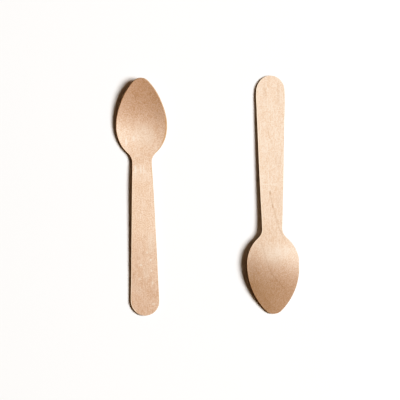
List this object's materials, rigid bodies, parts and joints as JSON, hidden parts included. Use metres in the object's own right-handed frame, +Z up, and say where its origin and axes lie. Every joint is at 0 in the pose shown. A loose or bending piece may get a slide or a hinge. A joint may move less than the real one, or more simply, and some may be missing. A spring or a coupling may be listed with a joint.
{
  "type": "wooden teaspoon pack",
  "caption": "Disposable teaspoons pressed from birch veneer, with flat tapered handles and shallow pointed bowls, lying side by side and head to tail, face up and face down.",
  "frame": {"origin": "on the surface that both spoons lie on, at the middle of the pair", "axes": "+Y along the spoons, towards the bowl's tip of the spoon that lies face up; +X from that spoon towards the one that lies face down; +Z up"},
  "size_m": [0.0838, 0.1102, 0.007],
  "materials": {
    "veneer_inner_face": "raw tumbled birch veneer, matt, fine straight grain along the handle",
    "veneer_outer_face": "raw tumbled birch veneer, matt, fine straight grain with pale flecks and brown growth lines"
  },
  "bodies": {
    "root": {"spoon_face_up": "veneer_inner_face", "spoon_face_down": "veneer_outer_face"}
  },
  "joints": []
}
